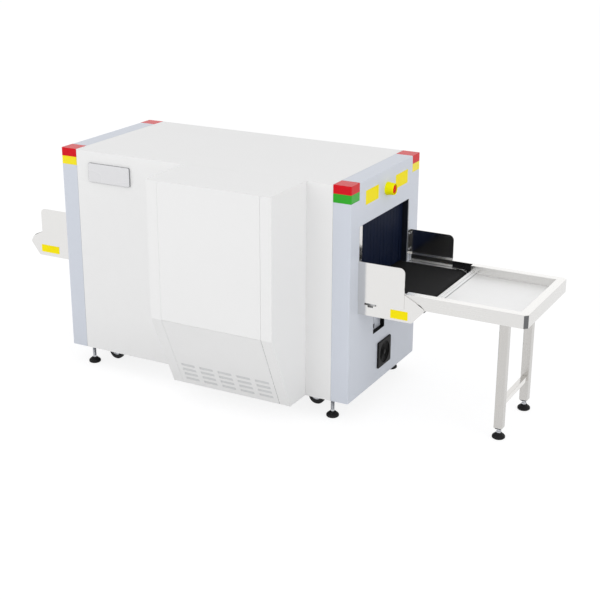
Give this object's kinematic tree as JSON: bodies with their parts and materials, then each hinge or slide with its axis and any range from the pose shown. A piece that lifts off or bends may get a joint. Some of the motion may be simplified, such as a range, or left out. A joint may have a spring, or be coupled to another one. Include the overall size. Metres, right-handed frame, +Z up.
{
  "type": "baggage x-ray scanner",
  "caption": "Belt-fed baggage x-ray scanner: white cabinet with a tunnel, strip curtains, belt ends with guides, and a tray table on legs.",
  "frame": {"origin": "on the floor, under the middle of the whole machine's outline", "axes": "+X along the belt towards the tray table, +Y from the front box to the back, +Z up"},
  "size_m": [2.6409, 1.045, 1.107],
  "materials": {
    "white_paint": "fine semi-gloss powder coat",
    "blue_grey_paint": "fine semi-gloss powder coat",
    "frame_paint": "matt powder coat",
    "galvanised_sheet": "plain zinc-coated sheet",
    "tunnel_paint": "satin",
    "red_lens": "moulded, glossy",
    "green_lens": "moulded, glossy",
    "yellow_lens": "moulded, glossy",
    "stainless": "brushed",
    "belt_black": "fine woven-backed belt, matt",
    "leaded_rubber": "matt sheet",
    "yellow_plastic": "moulded",
    "red_plastic": "moulded",
    "black_plastic": "moulded, grained",
    "plate_white": "smooth, bare",
    "dark_filler": "moulded",
    "bright_zinc": "bright zinc plate",
    "pad_rubber": "moulded",
    "wheel_nylon": "moulded tread"
  },
  "bodies": {
    "scanner": {"base_side_rails": "frame_paint", "base_cross_members": "frame_paint", "floor_sheet": "galvanised_sheet", "front_left_panel": "white_paint", "front_right_panel": "white_paint", "back_panels": "white_paint", "top_panel": "white_paint", "front_box_face_panel": "white_paint", "front_box_vent_panel": "white_paint", "front_box_left_cover": "white_paint", "front_box_right_cover": "white_paint", "front_box_top_panel": "white_paint", "end_cover_right": "blue_grey_paint", "end_cover_left": "blue_grey_paint", "red_corner_lamps": "red_lens", "green_corner_lamps": "green_lens", "yellow_corner_lamps": "yellow_lens", "tunnel_side_walls": "tunnel_paint", "tunnel_roof": "tunnel_paint", "slider_bed": "stainless", "conveyor_belt": "belt_black", "end_drums": "stainless", "conveyor_cheeks": "stainless", "conveyor_pans": "stainless", "bag_guides": "stainless", "curtain_rails": "galvanised_sheet", "stop_shroud": "yellow_plastic", "connector_recess": "black_plastic", "socket_plate": "blue_grey_paint", "fan_guard": "black_plastic", "name_plate": "plate_white", "table_frame": "stainless", "table_tray": "stainless", "table_corner_posts": "dark_filler", "table_legs": "stainless", "table_leg_bar": "stainless", "foot_stems": "bright_zinc", "foot_pads": "pad_rubber"},
    "curtain_right": {"curtain_right": "leaded_rubber"},
    "curtain_left": {"curtain_left": "leaded_rubber"},
    "stop_button": {"stop_button": "red_plastic"},
    "caster_fork_front_right": {"caster_fork_front_right": "bright_zinc"},
    "caster_wheel_front_right": {"caster_wheel_front_right": "wheel_nylon"},
    "caster_fork_back_right": {"caster_fork_back_right": "bright_zinc"},
    "caster_wheel_back_right": {"caster_wheel_back_right": "wheel_nylon"},
    "caster_fork_front_left": {"caster_fork_front_left": "bright_zinc"},
    "caster_wheel_front_left": {"caster_wheel_front_left": "wheel_nylon"},
    "caster_fork_back_left": {"caster_fork_back_left": "bright_zinc"},
    "caster_wheel_back_left": {"caster_wheel_back_left": "wheel_nylon"}
  },
  "joints": [
    {"name": "curtain_right_swing", "type": "hinge", "parent": "scanner", "child": "curtain_right", "pos_m": [0.5125, 0.155, 0.9], "axis": [0, 1, 0], "range_deg": [-65, 65]},
    {"name": "curtain_left_swing", "type": "hinge", "parent": "scanner", "child": "curtain_left", "pos_m": [-0.9775, 0.155, 0.9], "axis": [0, 1, 0], "range_deg": [-65, 65]},
    {"name": "stop_press", "type": "slide", "parent": "scanner", "child": "stop_button", "axis": [-1, 0, 0], "range_m": [0, 0.004]},
    {"name": "caster_swivel_front_right", "type": "hinge", "parent": "scanner", "child": "caster_fork_front_right", "pos_m": [0.3425, -0.085, 0.1], "axis": [0, 0, 1], "continuous": true},
    {"name": "caster_roll_front_right", "type": "hinge", "parent": "caster_fork_front_right", "child": "caster_wheel_front_right", "pos_m": [0.3205, -0.085, 0.0445], "axis": [0, 1, 0], "continuous": true},
    {"name": "caster_swivel_back_right", "type": "hinge", "parent": "scanner", "child": "caster_fork_back_right", "pos_m": [0.3425, 0.395, 0.1], "axis": [0, 0, 1], "continuous": true},
    {"name": "caster_roll_back_right", "type": "hinge", "parent": "caster_fork_back_right", "child": "caster_wheel_back_right", "pos_m": [0.3205, 0.395, 0.0445], "axis": [0, 1, 0], "continuous": true},
    {"name": "caster_swivel_front_left", "type": "hinge", "parent": "scanner", "child": "caster_fork_front_left", "pos_m": [-0.8075, -0.085, 0.1], "axis": [0, 0, 1], "continuous": true},
    {"name": "caster_roll_front_left", "type": "hinge", "parent": "caster_fork_front_left", "child": "caster_wheel_front_left", "pos_m": [-0.8295, -0.085, 0.0445], "axis": [0, 1, 0], "continuous": true},
    {"name": "caster_swivel_back_left", "type": "hinge", "parent": "scanner", "child": "caster_fork_back_left", "pos_m": [-0.8075, 0.395, 0.1], "axis": [0, 0, 1], "continuous": true},
    {"name": "caster_roll_back_left", "type": "hinge", "parent": "caster_fork_back_left", "child": "caster_wheel_back_left", "pos_m": [-0.8295, 0.395, 0.0445], "axis": [0, 1, 0], "continuous": true}
  ]
}
